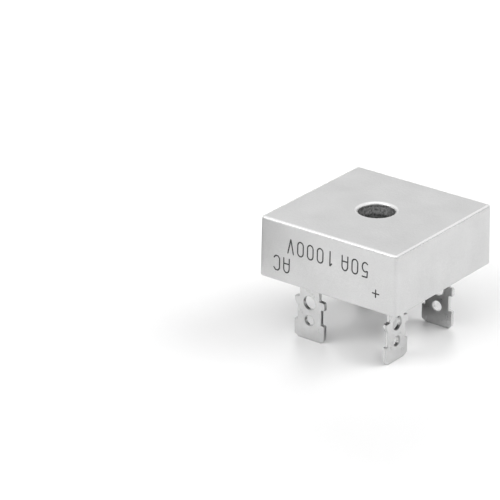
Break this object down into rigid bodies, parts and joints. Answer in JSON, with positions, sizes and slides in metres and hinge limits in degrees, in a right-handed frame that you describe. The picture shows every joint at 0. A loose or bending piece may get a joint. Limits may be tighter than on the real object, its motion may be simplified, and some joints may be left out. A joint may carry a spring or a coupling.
{
  "type": "bridge rectifier",
  "caption": "Square aluminium-cased bridge rectifier with a central screw hole, black potting underneath and upright push-on tabs.",
  "frame": {"origin": "on the axis of the screw hole, on the plane of the four tab tips that the part stands on", "axes": "+Z towards the flat mounting face, -Y towards the marked side of the case, +X towards the side of the turned plus tab"},
  "size_m": [0.0288, 0.0288, 0.0232],
  "materials": {
    "case_aluminium": "fine matt forged and tumbled surface, plain metal",
    "potting_epoxy": "glossy as poured",
    "bond_adhesive": "cured adhesive",
    "alumina": "as fired",
    "copper": "bare stamped copper",
    "silicon": "metallised silicon",
    "solder": "dull solder",
    "tinned_copper": "tin plated, semi-bright"
  },
  "bodies": {
    "root": {"case": "case_aluminium", "potting": "potting_epoxy", "base_bond": "bond_adhesive", "insulator": "alumina", "plus_plate": "copper", "minus_plate": "copper", "ac_left_plate": "copper", "ac_right_plate": "copper", "die_plus_left": "silicon", "die_plus_right": "silicon", "die_minus_left": "silicon", "die_minus_right": "silicon", "clip_plus_left": "copper", "clip_plus_right": "copper", "clip_minus_left": "copper", "clip_minus_right": "copper", "die_solder": "solder", "clip_solder": "solder", "terminal_solder": "solder", "terminal_plus": "tinned_copper", "terminal_minus": "tinned_copper", "terminal_ac_left": "tinned_copper", "terminal_ac_right": "tinned_copper"}
  },
  "joints": []
}
